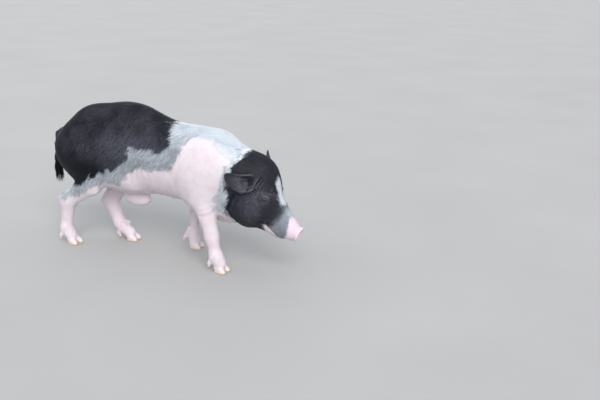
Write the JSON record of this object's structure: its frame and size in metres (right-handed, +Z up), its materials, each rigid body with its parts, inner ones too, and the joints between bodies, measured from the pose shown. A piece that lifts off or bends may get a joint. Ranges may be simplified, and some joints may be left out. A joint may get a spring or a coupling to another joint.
{
  "type": "pig",
  "caption": "Life-size still model of a young black-and-white boar, walking with its head lowered to sniff the ground, ears back and tail hanging.",
  "frame": {"origin": "bottom centre of the model's box, on the floor", "axes": "+X the way the pig walks, +Y its left side, +Z up"},
  "size_m": [1.2244, 0.3468, 0.6451],
  "materials": {
    "coat_black": "coarse dark hair lying flat over dark skin",
    "coat_white": "coarse white hair lying flat over pink skin",
    "coat_pink": "thin white hair over pink skin",
    "skin_pink": "bare pink skin, slightly moist",
    "horn": "pale claw horn, scuffed",
    "eye": "wet, dark brown"
  },
  "bodies": {
    "root": {"trunk": "coat_black", "sheath": "skin_pink", "neck": "coat_white", "eye_left": "eye", "eye_right": "eye", "head": "coat_black", "snout": "skin_pink", "ear_left": "coat_black", "ear_right": "coat_black", "foreleg_right": "coat_pink", "claw_inner_fore_right": "horn", "claw_outer_fore_right": "horn", "dewclaw_inner_fore_right": "horn", "dewclaw_outer_fore_right": "horn", "foreleg_left": "coat_pink", "claw_outer_fore_left": "horn", "claw_inner_fore_left": "horn", "dewclaw_outer_fore_left": "horn", "dewclaw_inner_fore_left": "horn", "hindleg_right": "coat_pink", "claw_inner_hind_right": "horn", "claw_outer_hind_right": "horn", "dewclaw_inner_hind_right": "horn", "dewclaw_outer_hind_right": "horn", "hindleg_left": "coat_pink", "claw_outer_hind_left": "horn", "claw_inner_hind_left": "horn", "dewclaw_outer_hind_left": "horn", "dewclaw_inner_hind_left": "horn", "tail": "coat_black"}
  },
  "joints": []
}
